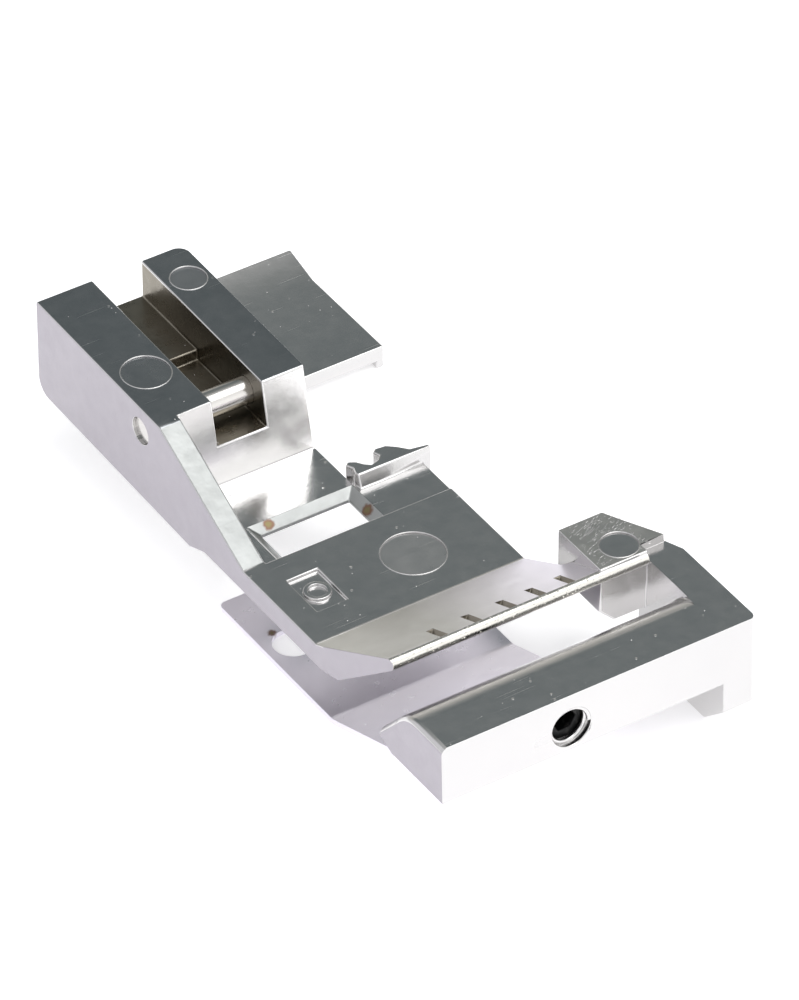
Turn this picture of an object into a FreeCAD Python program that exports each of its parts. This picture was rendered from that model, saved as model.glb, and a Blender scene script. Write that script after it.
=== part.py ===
import FreeCAD, Part
import Sketcher
import math
import os
import re

# Presser foot for an overlock and cover-stitch machine, in millimetres.
# X runs to the right, Y to the back, Z up. The origin lies on the underside of the sole plate,
# below the middle of the needle window, at the back edge of the needle plate.

os.makedirs("parts", exist_ok=True)
doc = FreeCAD.newDocument("presser_foot")

# Driving dimensions, measured from the left face of the casting, the back edge of the deck
# plate and the level that the foot stands on.
SIZES = {
    "origin_x": 7.5,
    "body_w": 11.7,
    "wall_w": 1.75,
    "rail_left_w": 4.45,
    "slot_w": 3.9,
    "rail_back": 26.2,
    "rail_top": 11.6,
    "rail_rise": 0.38,
    "rail_bottom": 3.9,
    "rail_bottom_rise": 0.55,
    "block_front": 10.85,
    "block_foot": 9.55,
    "gusset_top_y": 10.4,
    "slot_floor": 8.2,
    "slot_step": 0.85,
    "slot_step_y": 19.0,
    "belly_y": 6.7,
    "belly_run": 1.8,
    "deck_bottom": 4.6,
    "shelf_top": 5.4,
    "plate_top": 6.36,
    "plate_w": 16.45,
    "plate_len": 8.85,
    "nose_start": 11.0,
    "lip_reach": 16.13,
    "lip_top": 9.5,
    "lip_t": 0.9,
    "nose_taper": 1.4,
    "ramp_right": 17.1,
    "ramp_side_in": 0.5,
    "ramp_side_run": 2.2,
    "nose_side_run": 0.6,
    "window_left": 4.0,
    "window_w": 6.95,
    "window_d": 4.1,
    "window_bevel": 0.7,
    "window_bevel_h": 0.55,
    "ledge_right": 17.0,
    "ledge_back": 4.5,
    "ledge_t": 1.1,
    "guard_h": 0.95,
    "guard_right": 17.7,
    "guard_lean": 0.4,
    "guard_t": 0.5,
    "guard_tip_front": 0.15,
    "guard_tip_t": 0.25,
    "tooth_one_x": 11.9,
    "tooth_two_x": 14.2,
    "tooth_two_w": 2.2,
    "tooth_reach": 6.3,
    "corner_left": 17.7,
    "corner_back": 10.8,
    "corner_back_in": 2.8,
    "corner_turn_in": 2.1,
    "corner_turn_run": 1.4,
    "corner_side_in": 0.6,
    "corner_setback": 0.3,
    "corner_bottom": 4.7,
    "corner_chamfer": 1.2,
    "arm_w": 2.6,
    "arm_start": 15.0,
    "arm_lead": 0.6,
    "arm_corner_in": 0.8,
    "arm_corner_run": 1.3,
    "frame_right": 24.0,
    "frame_left": 0.5,
    "bar_top": 8.85,
    "bar_bottom": 4.3,
    "bar_front": 24.8,
    "bar_back": 20.37,
    "bar_heel": 17.35,
    "bar_heel_z": 5.5,
    "bar_heel_h": 0.55,
    "bar_heel_run": 1.7,
    "bar_lean": 0.15,
    "bar_round": 3.0,
    "leg_tip_z": 2.0,
    "leg_lean": 0.076,
    "leg_tip_run": 2.1,
    "leg_back": 14.9,
    "leg_foot": 1.5,
    "heel_left": 7.5,
    "heel_front": 12.5,
    "heel_nose": 1.5,
    "heel_back_in": 0.3,
    "heel_rise": 1.4,
    "tail_right": 24.2,
    "tail_front": 20.3,
    "tail_bend": 29.4,
    "tail_tip": 3.0,
    "tail_tip_thin": 0.3,
    "tail_under": 0.6,
    "tail_t": 1.2,
    "tail_lift": 0.75,
    "runner_w": 0.6,
    "runner_nose_z": 0.5,
    "runner_nose_run": 1.2,
    "pin_y": 12.8,
    "pin_z": 9.7,
    "pin_d": 2.0,
    "pin_sunk": 0.25,
    "screw_x": 9.5,
    "screw_z": 6.2,
    "thread_d": 3.0,
    "thread_clearance": 0.03,
    "screw_recess": 0.9,
    "screw_len": 4.5,
    "socket_flats": 1.5,
    "socket_deep": 1.3,
    "sole_t": 0.45,
    "sole_left": 0.6,
    "sole_right": 14.85,
    "sole_back": 4.2,
    "sole_tongue": 4.4,
    "sole_inner_back": 0.1,
    "sole_bend": 9.9,
    "sole_bend_in": 0.1,
    "sole_seat_back": 20.6,
    "sole_front": 24.0,
    "sole_slot_x": 1.25,
    "sole_slot_w": 2.9,
    "sole_slot_len": 3.1,
    "sole_slot_y": 3.35,
    "plate_mark_x": 10.5,
    "plate_mark_y": 4.5,
    "plate_mark_r": 2.25,
    "left_mark_x": 2.35,
    "left_mark_y": 15.8,
    "left_mark_r": 1.75,
    "right_mark_x": 10.1,
    "right_mark_y": 22.9,
    "right_mark_r": 1.3,
    "corner_mark_x": 20.2,
    "corner_mark_y": 14.3,
    "corner_mark_r": 1.35,
    "mark_deep": 0.07,
    "stamp_x": 3.15,
    "stamp_y": 4.2,
    "stamp_w": 2.4,
    "stamp_len": 3.75,
    "stamp_deep": 0.3,
    "stamp_ring_r": 0.95,
    "stamp_ring_w": 0.3,
    "stamp_ring_h": 0.25,
    "notch_first": 5.65,
    "notch_cover": 2.68,
    "notch_lock": 2.3,
    "notch_half": 0.5,
    "notch_gap": 0.5,
    "notch_len": 1.9,
    "notch_deep": 0.42,
    "notch_above": 0.3,
    "lip_round": 0.4,
    "rail_end_round": 1.3,
    "rail_corner_round": 0.9,
    "bar_end_round": 0.5,
    "sole_bend_round": 1.5,
    "sole_corner_round": 0.5,
    "lap": 0.5,
    "over": 0.1,
    "past": 1.0,
}
# The last three say how far joined shapes run into each other, how far an outline runs over what
# it bounds, and how far a cut runs past the surface that it opens.
dims = doc.addObject("Spreadsheet::Sheet", "dims")
for row, (alias, value) in enumerate(SIZES.items(), start=1):
    dims.set("A%d" % row, alias.replace("_", " "))
    dims.set("B%d" % row, str(value))
    dims.setAlias("B%d" % row, alias)
doc.recompute()


SPREAD = 20
TINY = 1e-6
ALONG = 0.9


def bound(text):
    # puts the sheet's name before each size in an expression
    return re.sub(r"[a-z][a-z_]+", lambda word: "dims." + word.group(0), str(text))


def place(item, x="0", y="0", z="0", turn=None):
    if turn is not None:
        item.Placement = FreeCAD.Placement(FreeCAD.Vector(), turn)
    for axis, value in (("x", x), ("y", y), ("z", z)):
        item.setExpression("Placement.Base." + axis, bound(value))
    return item


def box(name, x, y, z):
    # x, y and z are (low, high) pairs of expressions
    item = doc.addObject("Part::Box", name)
    for prop, (low, high) in (("Length", x), ("Width", y), ("Height", z)):
        item.setExpression(prop, bound("(%s) - (%s)" % (high, low)))
    return place(item, "(%s) - origin_x" % x[0], y[0], z[0])


def rod(name, radius, length, x, y, z, axis=None):
    item = doc.addObject("Part::Cylinder", name)
    item.setExpression("Radius", bound(radius))
    item.setExpression("Height", bound(length))
    turn = None if axis is None else FreeCAD.Rotation(FreeCAD.Vector(0, 0, 1), axis)
    return place(item, "(%s) - origin_x" % x, y, z, turn)


def outline(name, corners, turn, x="0", y="0", z="0"):
    # A closed run of straight edges; each corner is held by two sizes from the sheet.
    sketch = doc.addObject("Sketcher::SketchObject", name)
    place(sketch, x, y, z, turn)
    count = len(corners)
    ring = []
    for i in range(count):
        angle = 2 * math.pi * i / count
        ring.append(FreeCAD.Vector(SPREAD * math.cos(angle), SPREAD * math.sin(angle), 0))
    for i in range(count):
        sketch.addGeometry(Part.LineSegment(ring[i], ring[(i + 1) % count]), False)
    for i in range(count):
        sketch.addConstraint(Sketcher.Constraint("Coincident", i, 2, (i + 1) % count, 1))
    for i, (across, up) in enumerate(corners):
        for kind, size, start in (("DistanceX", across, ring[i].x), ("DistanceY", up, ring[i].y)):
            spot = sketch.addConstraint(Sketcher.Constraint(kind, -1, 1, i, 1, start))
            sketch.setExpression("Constraints[%d]" % spot, bound(size))
    return sketch


def raised(name, sketch, length, direction):
    item = doc.addObject("Part::Extrusion", name)
    item.Base = sketch
    item.DirMode = "Custom"
    item.Dir = FreeCAD.Vector(*direction)
    item.setExpression("LengthFwd", bound(length))
    item.Solid = True
    return item


SIDE = FreeCAD.Rotation(FreeCAD.Vector(1, 1, 1), 120)
FRONT = FreeCAD.Rotation(FreeCAD.Vector(1, 0, 0), 90)
FLAT = FreeCAD.Rotation()


def side(name, corners, x_low, x_high):
    # corners are (Y, Z); the slice runs from x_low to x_high
    sketch = outline(name + "_line", corners, SIDE, "(%s) - origin_x" % x_low)
    return raised(name, sketch, "(%s) - (%s)" % (x_high, x_low), (1, 0, 0))


def plan(name, corners, z_low, z_high):
    # corners are (X, Y); the slice runs from z_low to z_high
    moved = [("(%s) - origin_x" % across, up) for across, up in corners]
    sketch = outline(name + "_line", moved, FLAT, "0", "0", z_low)
    return raised(name, sketch, "(%s) - (%s)" % (z_high, z_low), (0, 0, 1))


def front(name, corners, y_low, y_high):
    # corners are (X, Z); the slice runs from y_high forward to y_low
    moved = [("(%s) - origin_x" % across, up) for across, up in corners]
    sketch = outline(name + "_line", moved, FRONT, "0", y_high)
    return raised(name, sketch, "(%s) - (%s)" % (y_high, y_low), (0, -1, 0))


def fused(name, shapes):
    item = doc.addObject("Part::MultiFuse", name)
    item.Shapes = shapes
    item.Refine = True
    return item


def shared(name, first, second):
    item = doc.addObject("Part::MultiCommon", name)
    item.Shapes = [first, second]
    return item


def minus(name, base, tool):
    item = doc.addObject("Part::Cut", name)
    item.Base = base
    item.Tool = tool
    item.Refine = True
    return item


def rounded(name, base, radius, wanted):
    # wanted takes an edge's middle point and direction and says whether it is rounded
    doc.recompute()
    item = doc.addObject("Part::Fillet", name)
    item.Base = base
    chosen = []
    for number, edge in enumerate(base.Shape.Edges, start=1):
        if len(edge.Vertexes) != 2:
            continue
        run = edge.Vertexes[1].Point - edge.Vertexes[0].Point
        if run.Length > TINY and wanted(edge.CenterOfMass, run.normalize()):
            chosen.append((number, radius, radius))
    item.Edges = chosen
    return item


def near(a, b, slack=0.02):
    return abs(a - b) < slack


def along(run, axis):
    return abs(getattr(run, axis)) > ALONG


S = SIZES

# Casting: rail block
block = side(
    "rail_block",
    [
        ("rail_back", "rail_bottom + rail_bottom_rise"),
        ("rail_back", "rail_top + rail_rise"),
        ("block_front", "rail_top"),
        ("block_foot", "shelf_top"),
        ("belly_y - belly_run", "shelf_top"),
        ("belly_y - belly_run", "deck_bottom"),
        ("belly_y", "rail_bottom"),
    ],
    "0",
    "body_w",
)
block = rounded(
    "rail_block_back",
    block,
    S["rail_end_round"],
    lambda at, run: along(run, "x") and near(at.y, S["rail_back"]) and at.z < S["plate_top"],
)
block = rounded(
    "rail_block_corners",
    block,
    S["rail_corner_round"],
    lambda at, run: along(run, "z") and near(at.y, S["rail_back"]) and at.x > 0,
)

# Casting: left wall, from the rail down to the nose
wall = side(
    "left_wall",
    [
        ("block_front + lap", "rail_bottom + past"),
        ("block_front + lap", "rail_top"),
        ("gusset_top_y", "rail_top"),
        ("0", "plate_top"),
        ("-lap", "plate_top"),
        ("-lap", "deck_bottom"),
        ("belly_y - belly_run", "deck_bottom"),
    ],
    "0",
    "wall_w",
)
shelf = box(
    "shelf",
    ("0", "body_w"),
    ("-lap", "block_foot + lap"),
    ("deck_bottom", "shelf_top"),
)
deck = box("deck_plate", ("0", "plate_w"), ("-plate_len", "0"), ("deck_bottom", "plate_top"))

# Casting: ramp that climbs to the lip
ramp_section = side(
    "ramp_section",
    [
        ("-plate_len + lap", "deck_bottom"),
        ("-plate_len + lap", "plate_top"),
        ("-plate_len", "plate_top"),
        ("-lip_reach", "lip_top"),
        ("-lip_reach", "lip_top - lip_t"),
        ("-nose_start", "deck_bottom"),
    ],
    "0",
    "frame_right - arm_w",
)
ramp_section = rounded(
    "ramp_lip",
    ramp_section,
    S["lip_round"],
    lambda at, run: along(run, "x") and near(at.y, -S["lip_reach"]),
)
ramp = shared(
    "ramp",
    ramp_section,
    plan(
        "ramp_plan",
        [
            ("0", "-plate_len + past"),
            ("plate_w", "-plate_len + past"),
            ("plate_w", "-plate_len"),
            ("ramp_right", "-corner_back - corner_turn_run"),
            ("corner_left + ramp_side_in", "-corner_back - ramp_side_run"),
            ("frame_right - arm_w", "-corner_back - ramp_side_run"),
            ("frame_right - arm_w", "-lip_reach - over"),
            ("nose_taper", "-lip_reach - over"),
            ("0", "-plate_len - nose_side_run"),
        ],
        "deck_bottom - over",
        "lip_top + over",
    ),
)

# Casting: right corner block
corner = shared(
    "corner_block",
    front(
        "corner_section",
        [
            ("corner_left", "corner_bottom + corner_chamfer"),
            ("corner_left", "lip_top"),
            ("frame_right", "lip_top"),
            ("frame_right", "corner_bottom"),
            ("corner_left + corner_chamfer", "corner_bottom"),
        ],
        "-lip_reach + corner_setback",
        "-corner_back",
    ),
    plan(
        "corner_plan",
        [
            ("corner_left - over", "-corner_back"),
            ("frame_right - corner_back_in", "-corner_back"),
            ("frame_right - corner_turn_in", "-corner_back - corner_turn_run"),
            ("frame_right - corner_side_in", "-arm_start"),
            ("frame_right - arm_w", "-arm_start"),
            ("frame_right - arm_w", "-lip_reach"),
            ("corner_left - over", "-lip_reach"),
        ],
        "corner_bottom - over",
        "lip_top + over",
    ),
)

# Casting: arm, front bar and right leg
arm = plan(
    "arm",
    [
        ("frame_right - arm_w", "-arm_start + arm_lead"),
        ("frame_right - arm_corner_in", "-arm_start + arm_lead"),
        ("frame_right", "-arm_start - arm_corner_run"),
        ("frame_right", "-bar_front + past"),
        ("frame_right - arm_w", "-bar_front + past"),
    ],
    "bar_bottom",
    "bar_top",
)
bar = side(
    "front_bar",
    [
        ("-bar_front", "bar_bottom"),
        ("-bar_front + bar_lean", "bar_top"),
        ("-bar_back", "bar_top"),
        ("-bar_heel", "bar_heel_z"),
        ("-bar_heel", "bar_heel_z - bar_heel_h"),
        ("-bar_heel - bar_heel_run", "bar_bottom"),
    ],
    "-frame_left",
    "frame_right",
)
bar = rounded(
    "front_bar_back",
    bar,
    S["bar_round"],
    lambda at, run: along(run, "x") and near(at.y, -S["bar_back"]) and near(at.z, S["bar_top"]),
)
bar = rounded(
    "front_bar_ends",
    bar,
    S["bar_end_round"],
    lambda at, run: not along(run, "x")
    and near(at.z, S["bar_top"])
    and near(at.x, -S["frame_left"] - S["origin_x"]),
)
leg = side(
    "right_leg",
    [
        ("-bar_front + bar_lean", "bar_top"),
        ("-bar_front - leg_lean", "leg_tip_z"),
        ("-bar_front + leg_tip_run", "0"),
        ("-leg_back - leg_foot", "0"),
        ("-leg_back", "leg_foot"),
        ("-leg_back", "bar_bottom + past"),
        ("-bar_back", "bar_bottom + past"),
        ("-bar_back", "bar_top"),
    ],
    "frame_right - arm_w",
    "frame_right",
)

# Casting: heel under the rails and the tail that presses behind the needles
heel = side(
    "heel",
    [
        ("heel_front", "heel_nose"),
        ("heel_front + heel_nose", "0"),
        ("rail_back - heel_nose", "0"),
        ("rail_back - heel_back_in", "rail_bottom + heel_rise"),
        ("heel_front", "rail_bottom + heel_rise"),
    ],
    "heel_left",
    "body_w",
)
tail = side(
    "tail",
    [
        ("tail_front", "tail_under"),
        ("tail_front", "tail_under + tail_t"),
        ("tail_bend", "tail_under + tail_t"),
        ("tail_bend + tail_tip", "tail_under + tail_t + tail_lift"),
        ("tail_bend + tail_tip", "tail_under + tail_lift + tail_tip_thin"),
        ("tail_bend", "tail_under"),
    ],
    "heel_left",
    "tail_right",
)
runner = side(
    "tail_runner",
    [
        ("tail_front", "0"),
        ("tail_front", "tail_under + lap"),
        ("tail_bend", "tail_under + lap"),
        ("tail_bend", "runner_nose_z"),
        ("tail_bend - runner_nose_run", "0"),
    ],
    "tail_right - runner_w",
    "tail_right",
)

# Casting: ledge with its needle guard, whose back runs out in two hooked teeth
ledge = box(
    "ledge",
    ("body_w - lap", "ledge_right"),
    ("-lap", "ledge_back + over"),
    ("shelf_top - ledge_t", "shelf_top"),
)
# Each tooth's edge from its right root round the tip to its left root: X from the tooth's left
# side, Y from the reach of the tips.
HOOK_ONE = [
    (1.4, -1.3),
    (1.05, -1.0),
    (0.7, -0.5),
    (0.2, -0.2),
    (-0.15, -0.5),
    (0.15, -1.0),
    (0.0, -1.4),
]
HOOK_TWO = [
    (1.6, -0.6),
    (1.0, -0.1),
    (0.2, 0.0),
    (-0.15, -0.3),
    (0.1, -0.8),
    (-0.3, -1.15),
]
guard_edge = [
    ("tooth_one_x", "ledge_back - lap"),
    ("guard_right", "ledge_back - guard_tip_front"),
    ("guard_right", "ledge_back + guard_tip_t"),
    ("tooth_two_x + tooth_two_w", "ledge_back + guard_t"),
]
for start, hook in (("tooth_two_x", HOOK_TWO), ("tooth_one_x", HOOK_ONE)):
    for across, reach in hook:
        guard_edge.append(("%s + (%s)" % (start, across), "tooth_reach + (%s)" % reach))
guard = shared(
    "guard",
    side(
        "guard_section",
        [
            ("ledge_back - guard_lean", "shelf_top - ledge_t"),
            ("ledge_back - guard_lean", "shelf_top"),
            ("ledge_back", "shelf_top + guard_h"),
            ("tooth_reach + past", "shelf_top + guard_h"),
            ("tooth_reach + past", "shelf_top - ledge_t"),
        ],
        "body_w",
        "guard_right + past",
    ),
    plan(
        "guard_plan",
        guard_edge,
        "shelf_top - ledge_t - over",
        "shelf_top + guard_h + over",
    ),
)

solid = fused(
    "casting",
    [
        block, wall, shelf, deck, ramp, corner, arm, bar, leg, heel, tail, runner,
        ledge, guard,
    ],
)
solid = rounded(
    "casting_corner",
    solid,
    S["bar_end_round"],
    lambda at, run: along(run, "z")
    and near(at.x, S["frame_right"] - S["origin_x"])
    and at.y < S["lap"] - S["bar_front"],
)

# What is cut out of the casting
slot_low = box(
    "slot_low",
    ("rail_left_w", "rail_left_w + slot_w"),
    ("block_foot - past", "slot_step_y"),
    ("slot_floor", "rail_top + past"),
)
slot_high = box(
    "slot_high",
    ("rail_left_w", "rail_left_w + slot_w"),
    ("slot_step_y - over", "rail_back + past"),
    ("slot_floor + slot_step", "rail_top + past"),
)
window = box(
    "needle_window",
    ("window_left", "window_left + window_w"),
    ("0", "window_d"),
    ("deck_bottom - past", "plate_top + past"),
)
bevel = doc.addObject("Part::Wedge", "window_bevel")
for prop, value in (
    ("Xmin", "0"),
    ("Xmax", "window_w"),
    ("X2min", "-window_bevel"),
    ("X2max", "window_w + window_bevel"),
    ("Ymin", "0"),
    ("Ymax", "window_bevel_h"),
    ("Zmin", "-window_d"),
    ("Zmax", "0"),
    ("Z2min", "-window_d - window_bevel"),
    ("Z2max", "0"),
):
    bevel.setExpression(prop, bound(value))
place(bevel, "window_left - origin_x", "0", "shelf_top - window_bevel_h", FRONT)

pin_hole = rod(
    "pin_hole",
    "pin_d / 2",
    "body_w + 2 * past",
    "-past",
    "pin_y",
    "pin_z",
    FreeCAD.Vector(1, 0, 0),
)
screw_hole = rod(
    "screw_hole",
    "thread_d / 2",
    "bar_front - bar_heel + 2 * past",
    "screw_x",
    "-bar_front - past",
    "screw_z",
    FreeCAD.Vector(0, 1, 0),
)
marks = [
    rod(name, name + "_r", "past", name + "_x", "-%s_y" % name, level + " - mark_deep")
    for name, level in (("plate_mark", "plate_top"), ("corner_mark", "lip_top"))
]
tilt = FreeCAD.Vector(0, -S["rail_rise"], S["rail_back"] - S["block_front"])
for name in ("left_mark", "right_mark"):
    level = "rail_top + rail_rise * (%s_y - block_front) / (rail_back - block_front) - mark_deep" % name
    marks.append(rod(name, name + "_r", "past", name + "_x", name + "_y", level, tilt))

stamp = box(
    "stamp",
    ("stamp_x - stamp_w / 2", "stamp_x + stamp_w / 2"),
    ("-stamp_y - stamp_len / 2", "-stamp_y + stamp_len / 2"),
    ("plate_top - stamp_deep", "plate_top + past"),
)
ring = rod(
    "stamp_ring", "stamp_ring_r", "stamp_ring_h", "stamp_x", "-stamp_y", "plate_top - stamp_deep"
)
eye = rod(
    "stamp_eye",
    "stamp_ring_r - stamp_ring_w",
    "past",
    "stamp_x",
    "-stamp_y",
    "plate_top - stamp_deep",
)
stamp = minus("stamp_pocket", stamp, minus("stamp_rim", ring, eye))

# Needle marks: five grooves down the ramp from the lip
slope = math.atan2(S["lip_top"] - S["plate_top"], S["lip_reach"] - S["plate_len"])
notches = []
for number in range(5):
    covers = min(number, 2)
    across = "notch_first + notch_cover * %d + notch_lock * %d" % (covers, number - covers)
    sketch = outline(
        "notch_line_%d" % number,
        [
            ("-notch_half", "notch_above"),
            ("notch_half", "notch_above"),
            ("0", "-notch_deep"),
        ],
        FreeCAD.Rotation(FreeCAD.Vector(1, 0, 0), 90 - math.degrees(slope)),
        "%s - origin_x" % across,
        "-lip_reach + notch_gap",
        "lip_top - notch_gap * (lip_top - plate_top) / (lip_reach - plate_len)",
    )
    back = (0, math.cos(slope), -math.sin(slope))
    groove = raised("notch_%d" % number, sketch, "notch_len", back)
    notches.append(groove)

cuts = fused(
    "cuts", [slot_low, slot_high, window, bevel, pin_hole, screw_hole, stamp] + marks + notches
)
foot_body = minus("foot_casting", solid, cuts)
foot_body.Label = "foot_body"

# Sole plate: thin strip whose front is bent up and seated under the bar
strip = side(
    "sole_strip",
    [
        ("sole_back", "0"),
        ("sole_back", "sole_t"),
        ("-sole_bend", "sole_t"),
        ("-sole_seat_back", "bar_bottom"),
        ("-sole_front", "bar_bottom"),
        ("-sole_front", "bar_bottom - sole_t"),
        ("-sole_seat_back - sole_bend_in", "bar_bottom - sole_t"),
        ("-sole_bend - sole_bend_in", "0"),
    ],
    "sole_left",
    "sole_right",
)
strip = rounded(
    "sole_bends",
    strip,
    S["sole_bend_round"],
    lambda at, run: along(run, "x")
    and any(near(at.y, -S[bend], S["sole_t"] / 2) for bend in ("sole_bend", "sole_seat_back")),
)
strip = rounded(
    "sole_corners",
    strip,
    S["sole_corner_round"],
    lambda at, run: along(run, "z") and near(at.y, S["sole_back"]) and at.x < 0,
)
needle_gap = box(
    "sole_needle_gap",
    ("sole_left + sole_tongue", "sole_right + past"),
    ("-sole_inner_back", "sole_back + past"),
    ("-past", "sole_t + past"),
)
slot_middle = box(
    "sole_slot_middle",
    ("sole_slot_x + sole_slot_w / 2", "sole_slot_x + sole_slot_len - sole_slot_w / 2"),
    ("-sole_slot_y", "-sole_slot_y + sole_slot_w"),
    ("-past", "sole_t + past"),
)
slot_ends = [
    rod(
        "sole_slot_end_%d" % number,
        "sole_slot_w / 2",
        "sole_t + 2 * past",
        across,
        "-sole_slot_y + sole_slot_w / 2",
        "-past",
    )
    for number, across in enumerate(
        ("sole_slot_x + sole_slot_w / 2", "sole_slot_x + sole_slot_len - sole_slot_w / 2")
    )
]
sole = minus("sole", strip, fused("sole_cuts", [needle_gap, slot_middle] + slot_ends))
sole.Label = "sole_plate"

# Cross pin, pressed through both rails and a little below their outer faces
pin = rod(
    "pin",
    "pin_d / 2",
    "body_w - 2 * pin_sunk",
    "pin_sunk",
    "pin_y",
    "pin_z",
    FreeCAD.Vector(1, 0, 0),
)
pin.Label = "cross_pin"

# Set screw with a hexagon socket, below the face of the bar
shank = rod(
    "shank",
    "thread_d / 2 - thread_clearance",
    "screw_len",
    "screw_x",
    "-bar_front + screw_recess",
    "screw_z",
    FreeCAD.Vector(0, 1, 0),
)
socket = doc.addObject("Part::Prism", "socket")
socket.Polygon = 6
socket.setExpression("Circumradius", bound("socket_flats / %.7f" % math.sqrt(3)))
socket.setExpression("Height", bound("socket_deep + past"))
place(
    socket,
    "screw_x - origin_x",
    "-bar_front + screw_recess - past",
    "screw_z",
    FreeCAD.Rotation(FreeCAD.Vector(0, 0, 1), FreeCAD.Vector(0, 1, 0)),
)
screw = minus("screw", shank, socket)
screw.Label = "set_screw"

doc.recompute()
for item in doc.Objects:
    if "Invalid" in item.State or "Error" in item.State:
        raise SystemExit("%s did not build: %s" % (item.Label, item.State))
for item in (foot_body, sole, pin, screw):
    shape = item.Shape
    if shape.isNull() or not shape.isValid() or len(shape.Solids) != 1:
        raise SystemExit("%s is not one sound solid" % item.Label)
    shape.exportStep("parts/%s.step" % item.Label)
    size = shape.BoundBox
    print("%s %.2f x %.2f x %.2f mm" % (item.Label, size.XLength, size.YLength, size.ZLength))
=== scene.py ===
# %% [markdown]
# A presser foot for an overlock sewing machine, about 25 mm wide and 57 mm long.
# The real one is a zinc die casting with bright nickel and chrome plating. A thin plated sheet
# forms its sole, a ground steel pin crosses the slot in its two rails, and a small black set
# screw sits in the front bar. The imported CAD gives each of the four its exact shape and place,
# so this scene only softens edges, adds what is too fine for CAD and finishes the surfaces.

# %% Load the frame
import math

import bmesh
import bpy
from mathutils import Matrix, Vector


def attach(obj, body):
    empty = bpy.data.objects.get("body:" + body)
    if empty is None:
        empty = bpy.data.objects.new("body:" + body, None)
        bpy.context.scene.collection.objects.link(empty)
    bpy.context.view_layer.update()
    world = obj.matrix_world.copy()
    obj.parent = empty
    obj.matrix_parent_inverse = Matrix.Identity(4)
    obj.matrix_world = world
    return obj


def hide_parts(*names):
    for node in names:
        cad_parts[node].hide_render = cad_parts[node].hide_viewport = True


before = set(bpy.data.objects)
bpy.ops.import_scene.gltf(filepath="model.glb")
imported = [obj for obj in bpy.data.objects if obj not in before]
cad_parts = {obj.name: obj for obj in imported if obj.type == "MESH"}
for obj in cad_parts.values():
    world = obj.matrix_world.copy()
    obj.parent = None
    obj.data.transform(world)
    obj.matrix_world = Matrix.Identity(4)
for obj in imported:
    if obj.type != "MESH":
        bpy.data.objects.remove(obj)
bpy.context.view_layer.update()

MM = 0.001
print("CAD nodes:", sorted(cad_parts))

# %% [markdown]
# The photograph was taken from the front left with a long lens, so the foot shows almost no
# perspective. The camera stands half a metre away and looks down at 39 degrees. A lens of
# 288 mm on a 36 mm sensor makes the same small picture angle.

# %% Camera
AIM = Vector((4.066, -1.158, 8.163)) * MM
AZIMUTH = math.radians(-32.98)
ELEVATION = math.radians(38.87)
DISTANCE = 530.5 * MM
LENS, SENSOR = 288, 36
NEAREST, FURTHEST = 10 * MM, 50

back = Vector(
    (
        math.sin(AZIMUTH) * math.cos(ELEVATION),
        -math.cos(AZIMUTH) * math.cos(ELEVATION),
        math.sin(ELEVATION),
    )
)
lens = bpy.data.cameras.new("camera")
lens.lens = LENS
lens.sensor_width = SENSOR
lens.clip_start = NEAREST
lens.clip_end = FURTHEST
camera = bpy.data.objects.new("camera", lens)
camera.location = AIM + back * DISTANCE
camera.rotation_mode = "QUATERNION"
camera.rotation_quaternion = (-back).to_track_quat("-Z", "Y")
bpy.context.scene.collection.objects.link(camera)
bpy.context.scene.camera = camera
print("camera at", [round(c / MM) for c in camera.location], "mm")

# %% [markdown]
# Two helpers serve every finish below. One turns a colour as a screen shows it (sRGB hex) into
# the linear numbers that a renderer works with. The other adds a node, sets it and links it.

# %% Colour and node helpers


def linear(code):
    parts = [int(code[i : i + 2], 16) / 255 for i in (1, 3, 5)]
    return [p / 12.92 if p <= 0.04045 else ((p + 0.055) / 1.055) ** 2.4 for p in parts] + [1.0]


def add(tree, kind, inputs=None, **settings):
    node = tree.nodes.new(kind)
    for key, value in settings.items():
        setattr(node, key, value)
    for key, value in (inputs or {}).items():
        if isinstance(value, bpy.types.NodeSocket):
            tree.links.new(value, node.inputs[key])
        else:
            node.inputs[key].default_value = value
    return node


def new_tree(name):
    material = bpy.data.materials.new(name)
    material.use_nodes = True
    material.node_tree.nodes.clear()
    return material, material.node_tree


print("mid grey #808080 is", round(linear("#808080")[0], 3), "in linear light")

# %% [markdown]
# Bright plating shows its surroundings more than its own colour. In the photograph the faces
# that look up are dark grey, because they mirror the dim upper part of the studio, and the
# faces that look forward are almost white, because they mirror the pale table. So the world is
# pale at the horizon and in front, dim above the horizon behind the foot, and light again
# overhead, where the soft box hangs. A white card on the left lights the rounded left edges.

# %% World
# Places are parts of a direction of length 1: X to the right, Y to the back, Z up.
GLOW = 1.6
LEFT_CARD = "#c9c9cc"
CARD_BEGINS, CARD_FULL = -0.2, -0.5
FRONT_BEGINS, FRONT_FULL = 0.1, -0.4
BEHIND = [
    (0.00, "#ccccce"),
    (0.08, "#b6b4b3"),
    (0.24, "#b3b1ab"),
    (0.44, "#797c7b"),
    (0.60, "#5b6264"),
    (0.80, "#7e8180"),
    (0.95, "#b4b4b4"),
]
BEFORE = [
    (0.00, "#ffffff"),
    (0.35, "#ffffff"),
    (0.65, "#e4e4e4"),
    (0.95, "#b4b4b4"),
]
world = bpy.data.worlds.new("studio")
bpy.context.scene.world = world
world.use_nodes = True
sky = world.node_tree
sky.nodes.clear()
where = add(sky, "ShaderNodeTexCoord")
way = add(sky, "ShaderNodeSeparateXYZ", {"Vector": where.outputs["Generated"]})


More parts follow.
